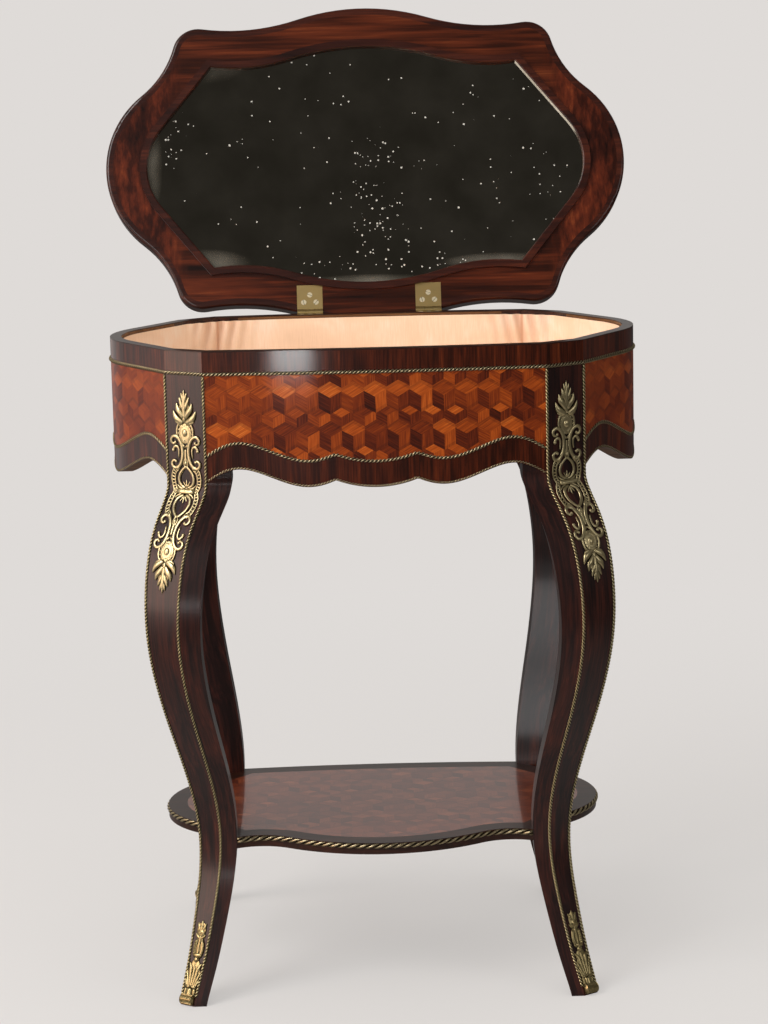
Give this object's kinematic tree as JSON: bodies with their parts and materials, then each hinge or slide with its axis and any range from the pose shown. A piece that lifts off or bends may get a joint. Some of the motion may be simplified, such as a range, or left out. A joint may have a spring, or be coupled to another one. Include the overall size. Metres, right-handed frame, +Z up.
{
  "type": "dressing table",
  "caption": "Small shaped dressing table on tall curved legs with a low shelf and a hinged lid holding a mirror, opening over a silk-lined case.",
  "frame": {"origin": "on the floor, midway between the four feet and under the middle of the case", "axes": "+X to the right seen from the front, +Y to the back, where the lid hinges, +Z up"},
  "size_m": [0.634, 0.5356, 1.1018],
  "materials": {
    "gilt_mounts": "aged, lightly burnished, dark in the recesses",
    "rope_mouldings": "aged brass, duller than the mounts",
    "hinge_brass": "worn satin",
    "hinge_screws": "slotted heads, tarnished",
    "cube_parquetry": "french polished, three tones of veneer set as cubes",
    "crossbanding": "french polished, grain across the band",
    "dark_rosewood": "french polished",
    "leg_veneer": "french polished, grain along the leg",
    "silk_lining": "gathered peach silk",
    "mirror_glass": "old foxed silvering, bevelled edge",
    "carcase_wood": "plain, waxed"
  },
  "bodies": {
    "table": {"apron_edge_ropes": "rope_mouldings", "apron_ropes": "rope_mouldings", "back_apron_band": "crossbanding", "back_parquetry": "cube_parquetry", "back_rail": "carcase_wood", "case_floor": "carcase_wood", "corner_mount_front_left": "gilt_mounts", "corner_mount_front_right": "gilt_mounts", "corner_mount_rear_left": "gilt_mounts", "corner_mount_rear_right": "gilt_mounts", "floor_ledges": "carcase_wood", "front_apron_band": "crossbanding", "front_parquetry": "cube_parquetry", "front_rail": "carcase_wood", "hinge_case_leaves": "hinge_brass", "hinge_case_screws": "hinge_screws", "hinge_pins": "hinge_screws", "left_apron_band": "crossbanding", "left_parquetry": "cube_parquetry", "left_rail": "carcase_wood", "leg_beads_front_left": "gilt_mounts", "leg_beads_front_right": "gilt_mounts", "leg_beads_rear_left": "gilt_mounts", "leg_beads_rear_right": "gilt_mounts", "leg_front_left": "leg_veneer", "leg_front_right": "leg_veneer", "leg_rear_left": "leg_veneer", "leg_rear_right": "leg_veneer", "lining_floor": "silk_lining", "lining_walls": "silk_lining", "right_apron_band": "crossbanding", "right_parquetry": "cube_parquetry", "right_rail": "carcase_wood", "rim_lipping": "dark_rosewood", "sabot_front_left": "gilt_mounts", "sabot_front_right": "gilt_mounts", "sabot_rear_left": "gilt_mounts", "sabot_rear_right": "gilt_mounts", "shelf_board": "carcase_wood", "shelf_border": "crossbanding", "shelf_dowels": "carcase_wood", "shelf_parquetry": "cube_parquetry", "shelf_rope": "rope_mouldings", "top_band": "crossbanding", "upper_rope": "rope_mouldings"},
    "lid": {"hinge_lid_leaves": "hinge_brass", "hinge_lid_screws": "hinge_screws", "lid_board": "carcase_wood", "lid_edge_moulding": "dark_rosewood", "lid_frame": "dark_rosewood", "lid_top_border": "crossbanding", "lid_top_parquetry": "cube_parquetry", "mirror_backboard": "carcase_wood", "mirror_glass": "mirror_glass", "mirror_moulding": "dark_rosewood"}
  },
  "joints": [
    {"name": "lid_hinge", "type": "hinge", "parent": "table", "child": "lid", "pos_m": [0, 0.18339, 0.74015], "axis": [1, 0, 0], "range_deg": [0, 107.5]}
  ]
}
